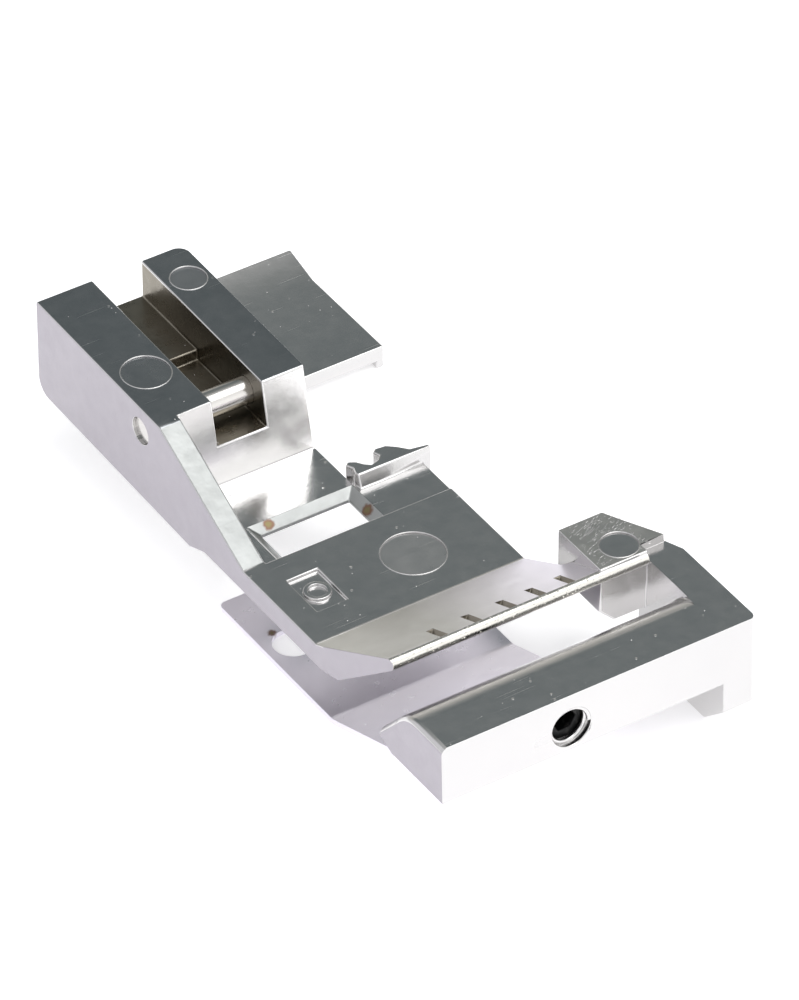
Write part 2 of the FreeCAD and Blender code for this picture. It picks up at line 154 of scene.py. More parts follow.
def shades(stops):
    node = add(sky, "ShaderNodeValToRGB", {"Fac": way.outputs["Z"]})
    while len(node.color_ramp.elements) < len(stops):
        node.color_ramp.elements.new(0.5)
    for stop, (place, code) in zip(node.color_ramp.elements, stops):
        stop.position = place
        stop.color = linear(code)
    return node.outputs["Color"]


side = add(
    sky,
    "ShaderNodeMapRange",
    {"Value": way.outputs["Y"], "From Min": FRONT_BEGINS, "From Max": FRONT_FULL},
)
shade = add(
    sky,
    "ShaderNodeMix",
    {"Factor": side.outputs["Result"], "A": shades(BEHIND), "B": shades(BEFORE)},
    data_type="RGBA",
)
left = add(
    sky,
    "ShaderNodeMapRange",
    {"Value": way.outputs["X"], "From Min": CARD_BEGINS, "From Max": CARD_FULL},
)
shade = add(
    sky,
    "ShaderNodeMix",
    {"Factor": left.outputs["Result"], "A": shade.outputs["Result"], "B": linear(LEFT_CARD)},
    data_type="RGBA",
)
glow = add(sky, "ShaderNodeBackground", {"Color": shade.outputs["Result"], "Strength": GLOW})
add(sky, "ShaderNodeOutputWorld", {"Surface": glow.outputs["Background"]})
print("world has", len(BEHIND) + len(BEFORE), "tones")

# %% [markdown]
# The light is one large soft box above and to the right of the camera, with a weaker one on
# the left. The table is plain and pale. A little extra white on what the camera sees of it
# gives the photograph's white ground, and more on what the plating mirrors makes up for the
# third of the light that nickel and chrome swallow. The foot's soft shadow stays.

# %% Lights and table


def soft_box(name, at, size, power):
    light = bpy.data.lights.new(name, "AREA")
    light.shape = "RECTANGLE"
    light.size = size[0] * MM
    light.size_y = size[1] * MM
    light.energy = power
    item = bpy.data.objects.new(name, light)
    item.location = Vector(at) * MM
    item.rotation_mode = "QUATERNION"
    item.rotation_quaternion = Vector(at).to_track_quat("Z", "Y")
    item.visible_camera = False
    bpy.context.scene.collection.objects.link(item)


soft_box("key_box", (130, -130, 470), (420, 360), 1.2)
soft_box("fill_box", (-420, -260, 380), (260, 260), 0.2)

TABLE_HALF = 6.0
MOTTLES_PER_METRE = 3.0
LIFT_SEEN = 0.4
LIFT_MIRRORED = 0.54
plane = bmesh.new()
bmesh.ops.create_grid(plane, x_segments=1, y_segments=1, size=TABLE_HALF)
table_mesh = bpy.data.meshes.new("table")
plane.to_mesh(table_mesh)
plane.free()
table = bpy.data.objects.new("table", table_mesh)
bpy.context.scene.collection.objects.link(table)
table_material, tree = new_tree("pale_laminate")
coords = add(tree, "ShaderNodeTexCoord")
mottle = add(
    tree,
    "ShaderNodeTexNoise",
    {"Vector": coords.outputs["Object"], "Scale": MOTTLES_PER_METRE},
)
tone = add(
    tree,
    "ShaderNodeMix",
    {"Factor": mottle.outputs["Fac"], "A": linear("#f1f1f2"), "B": linear("#f6f5f7")},
    data_type="RGBA",
)
paper = add(tree, "ShaderNodeBsdfDiffuse", {"Color": tone.outputs["Result"]})
path = add(tree, "ShaderNodeLightPath")
seen = add(
    tree,
    "ShaderNodeMath",
    {0: path.outputs["Is Camera Ray"], 1: LIFT_SEEN},
    operation="MULTIPLY",
)
lift = add(
    tree,
    "ShaderNodeMath",
    {0: path.outputs["Is Glossy Ray"], 1: LIFT_MIRRORED, 2: seen.outputs[0]},
    operation="MULTIPLY_ADD",
)
white = add(tree, "ShaderNodeEmission", {"Strength": lift.outputs[0]})
both = add(tree, "ShaderNodeAddShader", {0: paper.outputs["BSDF"], 1: white.outputs["Emission"]})
add(tree, "ShaderNodeOutputMaterial", {"Surface": both.outputs[0]})
table_mesh.materials.append(table_material)
print("table", 2 * TABLE_HALF, "m wide")

# %% [markdown]
# The plating follows every flaw of the casting under it. Seen close up it has a faint orange
# peel, a satin haze that comes and goes, hairline scratches from use, and specks where dust
# was plated in. In a few places it has worn or missed the corner, and the copper layer below
# shows, brown at its rim and tarnished olive in the middle. All sizes here are millimetres, or
# a number per millimetre where they scale a pattern.

# %% Sizes of the plating's flaws
CLOUDS = 0.12
HAZE = 0.9
ORANGE_PEEL = 1.1
GRAIN = 7.0
SPECK_CELLS = 0.62
SPECK_RIM, SPECK_TOP, SPECK_HEIGHT = 0.075, 0.03, 0.04
# direction of the hairlines in radians, and where their pattern starts
HAIRLINES = ((0.6, 0.0), (-0.9, 40.0))
HAIR_STRETCH = (0.16, 9.0, 0.5)
HAIR_FROM, HAIR_TO, HAIR_DEPTH, HAIR_MATT = 0.74, 0.8, 0.004, 0.22
# place and radius of each ejector pin's mark, how much more matt it is than the face round it,
# and the lean of its outline in degrees
EJECTOR_MARKS = [
    ((3.0, -4.5, 6.36), 2.25, 0.1, 0.0),
    ((-5.15, 15.8, 11.72), 1.75, 0.04, 1.42),
    ((2.6, 22.9, 11.9), 1.3, 0.12, 1.42),
    ((12.7, -14.3, 9.5), 1.35, 0.0, 0.0),
]
MARK_BLUR = 0.05
COPPER_SPOTS = [
    ((-2.65, 4.5, 5.2), 0.5),
    ((3.75, 2.3, 5.1), 0.55),
    ((-5.5, -0.3, 0.45), 0.4),
]
# where each colour of a spot fades in and is full, in radii, with a ragged rim
COPPER_RINGS = ((1.4, 1.0, "#6a4832"), (0.95, 0.6, "#77704f"))
COPPER_COVER, RAGGED_SCALE, RAGGED_SHARE = 0.85, 3.0, 0.8
print(len(EJECTOR_MARKS), "ejector marks and", len(COPPER_SPOTS), "copper spots")

# %% [markdown]
# Haze, specks and hairlines could be painted on by hand, but noise makes them without an
# image, and as fine as wanted. Haze is plain noise that sets the roughness. A speck is the
# middle of a Voronoi cell. A hairline is noise stretched a long way in one direction, of which
# only the highest ridges are kept.

# %% Haze, specks and hairlines


def haze_on(tree, mm, satin):
    haze = add(
        tree, "ShaderNodeTexNoise", {"Vector": mm, "Scale": HAZE, "Detail": 5.0, "Roughness": 0.65}
    )
    return add(
        tree,
        "ShaderNodeMapRange",
        {
            "Value": haze.outputs["Fac"],
            "From Min": 0.3,
            "From Max": 0.7,
            "To Min": satin[0],
            "To Max": satin[1],
        },
    ).outputs["Result"]


def specks_on(tree, mm):
    dots = add(
        tree, "ShaderNodeTexVoronoi", {"Vector": mm, "Scale": SPECK_CELLS, "Randomness": 1.0}
    )
    return add(
        tree,
        "ShaderNodeMapRange",
        {"Value": dots.outputs["Distance"], "From Min": SPECK_RIM, "From Max": SPECK_TOP},
    ).outputs["Result"]


def hairlines_on(tree, mm):
    lines = []
    for turn, start in HAIRLINES:
        turned = add(
            tree,
            "ShaderNodeMapping",
            {
                "Vector": mm,
                "Rotation": (0, 0, turn),
                "Scale": HAIR_STRETCH,
                "Location": (start, 0, 0),
            },
        )
        streak = add(
            tree,
            "ShaderNodeTexNoise",
            {"Vector": turned.outputs["Vector"], "Scale": 1.0, "Detail": 1.0},
        )
        lines.append(
            add(
                tree,
                "ShaderNodeMapRange",
                {"Value": streak.outputs["Fac"], "From Min": HAIR_FROM, "From Max": HAIR_TO},
            ).outputs["Result"]
        )
    return add(tree, "ShaderNodeMath", {0: lines[0], 1: lines[1]}, operation="MAXIMUM").outputs[0]


print("hairlines run in", len(HAIRLINES), "directions")

# %% [markdown]
# Two flaws have places of their own, so each is a ball round a point. Inside its ball an
# ejector mark is a shade more matt than the face round it, and a copper spot changes the
# colour. Noise added to the distance makes the rim of a spot ragged.

# %% Ejector marks and copper spots


def marks_on(tree, mm, rough):
    for at, radius, matt, _ in EJECTOR_MARKS:
        if not matt:
            continue
        away = add(
            tree, "ShaderNodeVectorMath", {0: mm, 1: at}, operation="DISTANCE"
        ).outputs["Value"]
        on_mark = add(
            tree,
            "ShaderNodeMapRange",
            {"Value": away, "From Min": radius + MARK_BLUR, "From Max": radius - MARK_BLUR},
        ).outputs["Result"]
        rough = add(
            tree, "ShaderNodeMath", {0: on_mark, 1: matt, 2: rough}, operation="MULTIPLY_ADD"
        ).outputs[0]
    return rough


def copper_on(tree, mm, colour, spots):
    for at, radius in spots:
        away = add(
            tree, "ShaderNodeVectorMath", {0: mm, 1: at}, operation="DISTANCE"
        ).outputs["Value"]
        ragged = add(
            tree, "ShaderNodeTexNoise", {"Vector": mm, "Scale": RAGGED_SCALE, "Detail": 4.0}
        )
        edge = add(
            tree,
            "ShaderNodeMath",
            {0: ragged.outputs["Fac"], 1: RAGGED_SHARE * radius, 2: away},
            operation="MULTIPLY_ADD",
        ).outputs[0]
        for begins, full, code in COPPER_RINGS:
            bare = add(
                tree,
                "ShaderNodeMapRange",
                {
                    "Value": edge,
                    "From Min": begins * radius,
                    "From Max": full * radius,
                    "To Max": COPPER_COVER,
                },
            ).outputs["Result"]
            colour = add(
                tree,
                "ShaderNodeMix",
                {"Factor": bare, "A": colour, "B": linear(code)},
                data_type="RGBA",
            ).outputs["Result"]
    return colour


print("matt marks:", sum(matt > 0 for _, _, matt, _ in EJECTOR_MARKS))

# %% [markdown]
# One function builds the whole finish, and each surface sets its own amounts: a pale and a deep
# colour, the least and most roughness, the heights of the orange peel and the grain, and how
# scratched the surface is, from 0 to 1. It may have copper spots, and a surface with a painted
# reflection that pales towards the right gives the two places between which it does. Object
# coordinates are metres, so they are divided by a millimetre first.

# %% One plated finish


def plated(name, pale, deep, satin, peel, grain, scratch, spots=(), across=None):
    material, tree = new_tree(name)
    coords = add(tree, "ShaderNodeTexCoord")
    mm = add(
        tree,
        "ShaderNodeVectorMath",
        {0: coords.outputs["Object"], "Scale": 1 / MM},
        operation="SCALE",
    ).outputs[0]

    # cloudy colour, about 8 mm across, or a painted reflection that pales towards the right
    cloud = add(tree, "ShaderNodeTexNoise", {"Vector": mm, "Scale": CLOUDS, "Detail": 3.0})
    shift = cloud.outputs["Fac"]
    if across:
        shift = add(
            tree,
            "ShaderNodeMapRange",
            {
                "Value": add(tree, "ShaderNodeSeparateXYZ", {"Vector": mm}).outputs["X"],
                "From Min": across[0],
                "From Max": across[1],
            },
        ).outputs["Result"]
    colour = add(
        tree,
        "ShaderNodeMix",
        {"Factor": shift, "A": linear(deep), "B": linear(pale)},
        data_type="RGBA",
    ).outputs["Result"]
    colour = copper_on(tree, mm, colour, spots)

    # haze, made more matt by hairlines and on ejector marks
    speck = specks_on(tree, mm)
    hair = hairlines_on(tree, mm)
    rough = add(
        tree,
        "ShaderNodeMath",
        {0: hair, 1: HAIR_MATT * scratch, 2: haze_on(tree, mm, satin)},
        operation="MULTIPLY_ADD",
    ).outputs[0]
    rough = marks_on(tree, mm, rough)

    # relief, from the widest pattern to the finest
    relief = add(tree, "ShaderNodeTexNoise", {"Vector": mm, "Scale": ORANGE_PEEL, "Detail": 2.0})
    bump = add(
        tree,
        "ShaderNodeBump",
        {"Height": relief.outputs["Fac"], "Distance": peel * MM, "Strength": 1.0},
    )
    fine = add(tree, "ShaderNodeTexNoise", {"Vector": mm, "Scale": GRAIN, "Detail": 3.0})
    heights = (
        (fine.outputs["Fac"], grain),
        (speck, SPECK_HEIGHT * scratch),
        (hair, -HAIR_DEPTH * scratch),
    )
    for height, depth in heights:
        bump = add(
            tree,
            "ShaderNodeBump",
            {
                "Height": height,
                "Distance": depth * MM,
                "Strength": 1.0,
                "Normal": bump.outputs["Normal"],
            },
        )
    metal = add(
        tree,
        "ShaderNodeBsdfPrincipled",
        {
            "Base Color": colour,
            "Metallic": 1.0,
            "Roughness": rough,
            "Normal": bump.outputs["Normal"],
        },
    )
    add(tree, "ShaderNodeOutputMaterial", {"Surface": metal.outputs["BSDF"]})
    print("finish", name, "with", len(tree.nodes), "nodes")
    return material


# %% [markdown]
# The casting has bright plate on its polished faces and satin plate on the unpolished left side,
# which is more matt and has a darker colour that is painted shade.
# The lip is worn and grainy. The corner block's top was filed before it was plated. Deep in the
# slot and in the notches the plate is dark, partly because it is thin where the current in the
# plating bath hardly reaches, and partly as painted shade. The ramp was buffed smooth, and its
# colour, darker on the left and paler on the right, is a painted reflection. The front of the rail
# block has the brightest plate, a near-white painted reflection. The gusset's slope and the
# window's walls are a little hazed, and their darker colour is painted shade. The rail tops are
# darker with painted shade. The sole's sheet is plated steel, and the pin is bare ground steel.

# %% The plated and ground finishes
bright_plate = plated(
    "chrome_plated_zinc", "#cecdcc", "#c7c6c6", (0.17, 0.24), 0.012, 0.0012, 0.5, COPPER_SPOTS
)
# satin plate for the left side: more matt, and its darker colour is painted shade for the shadowed
# table these faces mirror
satin_plate_and_painted_shade = plated("satin_zinc_painted_shade", "#aaa6ac", "#a09ca3", (0.34, 0.44), 0.02, 0.003, 0.3)
worn_plate = plated("worn_plated_lip", "#dedcd6", "#cfcdc7", (0.2, 0.32), 0.03, 0.01, 0.3)
filed_plate = plated("filed_plated_zinc", "#c9c8c5", "#bbbab6", (0.3, 0.42), 0.03, 0.006, 1.0)
# dark plate for the slot and the notches: partly thin plate, partly painted shade
recess_plate_and_painted_shade = plated("thin_zinc_painted_shade", "#8a8579", "#756f66", (0.24, 0.36), 0.03, 0.004, 0.5)
# the ramp's colour, darker on the left and paler on the right, is a painted reflection
buffed_plate_painted_reflection = plated(
    "buffed_ramp_painted_reflection", "#e6e2ea", "#b6b5af", (0.3, 0.38), 0.006, 0.001, 0.1, across=(-1.0, 9.0)
)
# front faces: less scratched plate, and its near-white colour is a painted reflection of the pale
# table in front
polished_plate_painted_reflection = plated(
    "polished_front_painted_reflection", "#fdfcfb", "#f4f3f2", (0.18, 0.26), 0.008, 0.001, 0.1
)
# more matt plate for the gusset's slope and the window's walls; its darker colour is painted shade
hazed_plate_painted_shade = plated(
    "hazed_gusset_painted_shade", "#a3a5a4", "#929493", (0.3, 0.42), 0.03, 0.003, 0.3, COPPER_SPOTS
)
# the rail tops: a darker plate that is painted shade
painted_shade_rail_plate = plated("rail_tops_painted_shade", "#a6a8aa", "#989b9e", (0.18, 0.26), 0.012, 0.0012, 0.5)
sheet_plate = plated(
    "plated_steel_sheet", "#ece8f1", "#e0dce6", (0.26, 0.36), 0.01, 0.001, 0.1, COPPER_SPOTS
)
pin_steel = plated("ground_steel", "#cdcbc8", "#c2bfbc", (0.14, 0.22), 0.004, 0.001, 0.4)

# %% [markdown]
# The set screw is steel with black oxide, a thin conversion layer that takes up oil. It is
# nearly black, slightly glossy, and rubbed back to grey where a key has turned in it.

# %% Black oxide
RUBS_PER_METRE = 2500.0
RUB_FROM, RUB_TO = 0.5, 0.75
OXIDE_LEAST, OXIDE_MOST = 0.3, 0.55
PIT_DEPTH = 0.01
black_oxide, tree = new_tree("black_oxide_steel")
coords = add(tree, "ShaderNodeTexCoord")
rub = add(
    tree,
    "ShaderNodeTexNoise",
    {"Vector": coords.outputs["Object"], "Scale": RUBS_PER_METRE, "Detail": 3.0},
)
rubbed = add(
    tree,
    "ShaderNodeMapRange",
    {"Value": rub.outputs["Fac"], "From Min": RUB_FROM, "From Max": RUB_TO},
)
coat = add(
    tree,
    "ShaderNodeMix",
    {"Factor": rubbed.outputs["Result"], "A": linear("#0d0d0e"), "B": linear("#3a3938")},
    data_type="RGBA",
)
gloss = add(
    tree,
    "ShaderNodeMapRange",
    {"Value": rub.outputs["Fac"], "To Min": OXIDE_LEAST, "To Max": OXIDE_MOST},
)
pits = add(tree, "ShaderNodeBump", {"Height": rub.outputs["Fac"], "Distance": PIT_DEPTH * MM})
oxide = add(
    tree,
    "ShaderNodeBsdfPrincipled",
    {
        "Base Color": coat.outputs["Result"],
        "Metallic": 0.6,
        "Roughness": gloss.outputs["Result"],
        "Normal": pits.outputs["Normal"],
    },
)
add(tree, "ShaderNodeOutputMaterial", {"Surface": oxide.outputs["BSDF"]})
print("finish", black_oxide.name)

# %% [markdown]
# A casting has no knife edges: each one carries a small round that catches a line of light.
# CAD left most of them sharp, so each node is copied, its loose triangles are merged, flat
# neighbours are joined, and a Bevel modifier rounds what is still sharp. A round needs room,
# so the first helpers measure how far it is from an edge to the next one, along the edges that
# meet it and across the faces beside it.

# %% Room beside an edge


def bake(piece):
    ready = piece.evaluated_get(bpy.context.evaluated_depsgraph_get())
    mesh = bpy.data.meshes.new_from_object(ready)
    piece.modifiers.clear()
    piece.data = mesh
    return mesh


def between(edge, vert, other):
    return (edge.other_vert(vert).co - vert.co).angle(other.other_vert(vert).co - vert.co, 0.0)


def way_along(edge, vert, other):
    return other.calc_length() * math.sin(min(between(edge, vert, other), math.pi / 2))


def off_segment(point, edge):
    start, end = (vert.co for vert in edge.verts)
    share = (point - start).dot(end - start) / (end - start).length_squared
    return (start.lerp(end, min(1.0, max(0.0, share))) - point).length


def way_across(edge, face):
    far = [e for e in face.edges if not set(e.verts) & set(edge.verts)]
    gaps = [off_segment(v.co, edge) for e in far for v in e.verts]
    gaps += [off_segment(v.co, e) for e in far for v in edge.verts]
    return min(gaps, default=1.0)


# %% [markdown]
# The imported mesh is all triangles, and the cuts between flat neighbours would spoil the rounds.
# Limited Dissolve alone leaves some, so they are joined one by one first. Joining starts with
# the cuts that run close beside a sharp edge, because a round would slide a long way on them.

# %% Join flat neighbours
FLAT = math.radians(1)
SHARP = math.radians(20)


def nearest_sharp(cut):
    angles = [math.pi]
    for vert in cut.verts:
        for edge in vert.link_edges:
            if edge != cut and edge.calc_face_angle(0) >= SHARP:
                angles.append(between(cut, vert, edge))
    return min(angles)


def join_flat(shell):
    cuts = [e for e in shell.edges if len(e.link_faces) == 2 and e.calc_face_angle(0) < FLAT]
    for cut in sorted(cuts, key=nearest_sharp) * 2:
        if not cut.is_valid or len(cut.link_faces) != 2:
            continue
        one, other = cut.link_faces
        common = [edge for edge in one.edges if other in edge.link_faces]
        corners = {vert for edge in common for vert in edge.verts}
        touching = set(one.verts) & set(other.verts)
        if len(corners) == len(common) + 1 and touching == corners:
            bmesh.utils.face_join((one, other), True)
    bmesh.ops.dissolve_limit(shell, angle_limit=FLAT, verts=shell.verts, edges=[])


print("an edge is sharp from", round(math.degrees(SHARP)), "degrees")

# %% [markdown]
# Each sharp edge then gets its share of the full round. An edge between shallow faces, such as
# the wall of an ejector mark, gets less, and one with no room for a round stays a crease. So
# do the mouths of the notches, which cut through the round of the lip.

# %% Shares of the round
# a round may take these shares of its face's depth and of the way to the next edge, and one
# below the least share of its full width isn't made
DEPTH_SHARE, SIDE_SHARE, LEAST = 0.35, 0.45, 0.12


def inside(edge, box):
    middle = (edge.verts[0].co + edge.verts[1].co) / 2 / MM
    return all(low < at < high for low, at, high in zip(box[0], middle, box[1]))


def weigh_edges(shell, full, creased):
    share = shell.edges.layers.float.new("bevel_weight_edge")
    sharp = 0
    for edge in shell.edges:
        if len(edge.link_faces) != 2 or edge.calc_face_angle(0) < SHARP:
            continue
        depth = min(face.calc_area() for face in edge.link_faces) / edge.calc_length()
        beside = min(way_along(edge, v, e) for v in edge.verts for e in v.link_edges if e != edge)
        across = min(way_across(edge, face) for face in edge.link_faces)
        room = min(DEPTH_SHARE * depth, SIDE_SHARE * beside, SIDE_SHARE * across, full) / full
        crisp = room < LEAST or any(inside(edge, box) for box in creased)
        edge[share] = 0.0 if crisp else room
        sharp += 1
    return sharp


# %% [markdown]
# The copy is rounded and shaded smooth, apart from its creases. Weighted normals keep the wide
# faces flat in reflections, so that only the rounds catch the light. The modifiers are applied,
# the CAD node is hidden, and the piece is hung under the root.

# %% Soft-edged copies of the CAD nodes
CREASE = math.radians(40)
WELD = 0.03


def soft_edged(name, node, width, finish, segments=3, creased=()):
    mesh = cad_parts[node].data.copy()
    mesh.name = name
    for old in ("custom_normal", "sharp_face"):
        if old in mesh.attributes:
            mesh.attributes.remove(mesh.attributes[old])
    shell = bmesh.new()
    shell.from_mesh(mesh)
    bmesh.ops.remove_doubles(shell, verts=shell.verts, dist=WELD * MM)
    join_flat(shell)
    sharp = weigh_edges(shell, width * MM, creased)
    for face in shell.faces:
        face.smooth = True
    shell.to_mesh(mesh)
    shell.free()
    mesh.materials.clear()
    mesh.materials.append(finish)
    piece = bpy.data.objects.new(name, mesh)
    bpy.context.scene.collection.objects.link(piece)
    round_off = piece.modifiers.new("round_off", "BEVEL")
    round_off.limit_method = "WEIGHT"
    round_off.width = width * MM
    round_off.segments = segments
    round_off.use_clamp_overlap = False
    round_off.loop_slide = False
    bake(piece)
    shell = bmesh.new()
    shell.from_mesh(piece.data)
    for edge in shell.edges:
        edge.smooth = len(edge.link_faces) == 2 and edge.calc_face_angle(0) < CREASE
    shell.to_mesh(piece.data)
    shell.free()
    even_shade = piece.modifiers.new("even_shade", "WEIGHTED_NORMAL")
    even_shade.weight = 100
    even_shade.keep_sharp = True
    final = bake(piece)
    final.name = name
    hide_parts(node)
    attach(piece, "root")
    print(name, "rounds", sharp, "edges,", len(final.polygons), "faces")
    return piece


NOTCH_MOUTHS = ((-5.5, -16.5, 8.7), (9.9, -15.5, 9.8))
casting = soft_edged(
    "casting", "foot_body", 0.14, bright_plate, creased=[NOTCH_MOUTHS]
)
soft_edged("sole_sheet", "sole_plate", 0.05, sheet_plate)
soft_edged("pressed_pin", "cross_pin", 0.32, pin_steel, segments=5)
soft_edged("socket_screw", "set_screw", 0.12, black_oxide)

# %% [markdown]
# The one casting has nine finishes, so its faces are sorted by where they lie, in
# millimetres, and which way they look. A face looks along its normal, which has length 1, so
# each part of it is 1 for a face that looks straight that way and 0 for one that looks past.

# %% Sort the casting's faces
FINISHES = [
    bright_plate,
    satin_plate_and_painted_shade,
    filed_plate,
    worn_plate,
    recess_plate_and_painted_shade,
    buffed_plate_painted_reflection,
    polished_plate_painted_reflection,
    hazed_plate_painted_shade,
    painted_shade_rail_plate,
]
for finish in FINISHES[1:]:
    casting.data.materials.append(finish)
LEFT_FACE = -6.0
LIP_Y, LIP_Z = -16.13, 9.5
NOTCH_Y, LIP_END = -15.55, -5.5
RAMP_Y, RAMP_Z = -8.85, 6.36
SLOT_LEFT, SLOT_RIGHT, SLOT_TOP = -3.12, 0.92, 11.4
BLOCK_FRONT, SLOT_FLOOR = 10.9, 8.1
FRONT_FOOT, FRONT_BACK, FRONT_LOW = 9.4, 11.0, 5.4
NOTCH_BACK, NOTCH_LOW = -13.0, 8.3
DECK_RIGHT, CORNER_LEFT, CORNER_BACK = 10.0, 10.1, -10.7
CORNER_FRONT, CORNER_TOP_FRONT, LIP_FRONT = -16.0, -16.3, -16.4
LIP_BACK = -15.7
RAIL_TOPS = 11.0
GUSSET_RIGHT = -4.2
WINDOW_HALF, WINDOW_FRONT, WINDOW_BACK, WINDOW_TOP = 4.25, -0.7, 4.85, 5.39
CORNER_SLACK, RAMP_SLACK = 0.03, 0.02
FACING = 0.9
RAMP_LOOKS_BACK, RAMP_LOOKS_UP = 0.35, 0.85
GUSSET_LOOKS_FRONT, GUSSET_LOOKS_UP = -0.35, 0.8
BEVEL_LOOKS_UP = 0.95


def finish_of(x, y, z, looks):
    ramp = RAMP_Z + (LIP_Z - RAMP_Z) * (y - RAMP_Y) / (LIP_Y - RAMP_Y)
    # faces that look left get the satin plate, darkened with painted shade
    if looks.x < -FACING and x < LEFT_FACE:
        return satin_plate_and_painted_shade
    on_corner = x > CORNER_LEFT and CORNER_TOP_FRONT < y < CORNER_BACK
    if looks.z > FACING and on_corner and z > LIP_Z - CORNER_SLACK:
        return filed_plate
    # the notches get the dark plate, partly painted shade
    if LIP_FRONT < y < NOTCH_BACK and x < DECK_RIGHT and NOTCH_LOW < z < ramp - RAMP_SLACK:
        return recess_plate_and_painted_shade if y > NOTCH_Y and x > LIP_END else worn_plate
    in_slot = SLOT_LEFT < x < SLOT_RIGHT and SLOT_FLOOR < z < SLOT_TOP
    # so do the walls deep in the slot
    if in_slot and y > BLOCK_FRONT and looks.y < FACING:
        return recess_plate_and_painted_shade
    like_ramp = looks.y > RAMP_LOOKS_BACK and looks.z > RAMP_LOOKS_UP
    # the ramp gets the painted reflection
    if LIP_BACK < y < RAMP_Y and x < DECK_RIGHT and like_ramp:
        return buffed_plate_painted_reflection
    on_block = FRONT_FOOT < y < FRONT_BACK and z > FRONT_LOW
    before_corner = CORNER_FRONT < y < LIP_BACK and x > CORNER_LEFT
    # faces that look forward on the blocks get the near-white painted reflection
    if looks.y < -FACING and (on_block or before_corner):
        return polished_plate_painted_reflection
    # faces that look up on the rail tops get the darker painted shade
    if looks.z > FACING and z > RAIL_TOPS:
        return painted_shade_rail_plate
    # the gusset's slope gets the hazed plate, darkened with painted shade
    if looks.y < GUSSET_LOOKS_FRONT and looks.z > GUSSET_LOOKS_UP and x < GUSSET_RIGHT:
        return hazed_plate_painted_shade
    # and so do the window's walls, darker with painted shade
    in_window = abs(x) < WINDOW_HALF and WINDOW_FRONT < y < WINDOW_BACK and z < WINDOW_TOP
    return hazed_plate_painted_shade if in_window and looks.z < BEVEL_LOOKS_UP else bright_plate


counts = [0] * len(FINISHES)
for face in casting.data.polygons:
    face.material_index = FINISHES.index(finish_of(*(face.center / MM), face.normal))
    counts[face.material_index] += 1
for finish, count in zip(FINISHES, counts):
    print(finish.name, "on", count, "faces")

# %% [markdown]
# What is left is too fine for CAD and would be a chore by hand: the raised outlines of the
# ejector pins, the thread in the screw's hole, plated-in grit and file strokes. Each is grown
# by a Geometry Nodes tree and then kept as a plain mesh. A tree gets its numbers through named
# inputs, in metres. These helpers open a tree, close it and turn its result into a piece.

# %% Growing helper


def new_growth(name, inputs):
    tree = bpy.data.node_groups.new(name, "GeometryNodeTree")
    for label, kind in inputs.items():
        tree.interface.new_socket(label, in_out="INPUT", socket_type="NodeSocket" + kind)
    tree.interface.new_socket("Geometry", in_out="OUTPUT", socket_type="NodeSocketGeometry")
    return tree, add(tree, "NodeGroupInput").outputs


def close_growth(tree, shape, finish):
    whole = add(tree, "GeometryNodeRealizeInstances", {"Geometry": shape})
    coated = add(
        tree, "GeometryNodeSetMaterial", {"Geometry": whole.outputs[0], "Material": finish}
    )
    add(tree, "NodeGroupOutput", {"Geometry": coated.outputs[0]})


def grow(name, tree, values):
    piece = bpy.data.objects.new(name, bpy.data.meshes.new(name))
    bpy.context.scene.collection.objects.link(piece)
    growth = piece.modifiers.new("growth", "NODES")
    growth.node_group = tree
    for item in tree.interface.items_tree:
        if item.in_out == "INPUT":
            growth[item.identifier] = values[item.name]
    mesh = bake(piece)
    mesh.name = name
    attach(piece, "root")
    print(name, "has", len(mesh.polygons), "faces")


# %% [markdown]
# Each ejector pin left a raised outline, so a fine wire is swept round its mark, half sunk in
# the face.

# %% Ejector outlines
WIRE = 0.045
tree, given = new_growth("outlines", {"Wire": "Float", "Finish": "Material"})
rings = add(tree, "GeometryNodeJoinGeometry")
for at, radius, _, lean in EJECTOR_MARKS:
    circle = add(
        tree, "GeometryNodeCurvePrimitiveCircle", {"Resolution": 64, "Radius": radius * MM}
    )
    turned = add(
        tree,
        "GeometryNodeTransform",
        {
            "Geometry": circle.outputs["Curve"],
            "Translation": Vector(at) * MM,
            "Rotation": (math.radians(lean), 0, 0),
        },
    )
    tree.links.new(turned.outputs[0], rings.inputs[0])
wire = add(tree, "GeometryNodeCurvePrimitiveCircle", {"Resolution": 10, "Radius": given["Wire"]})
swept = add(
    tree,
    "GeometryNodeCurveToMesh",
    {"Curve": rings.outputs[0], "Profile Curve": wire.outputs["Curve"]},
)
close_growth(tree, swept.outputs[0], given["Finish"])
grow("ejector_outlines", tree, {"Wire": WIRE * MM, "Finish": bright_plate})

# %% [markdown]
# The screw's hole is tapped right through, so the thread shows in its mouth in front of the
# sunk screw: a spiral at the M3 pitch of 0.5 mm, with a rounded ridge that reaches in to the
# thread's inner diameter.

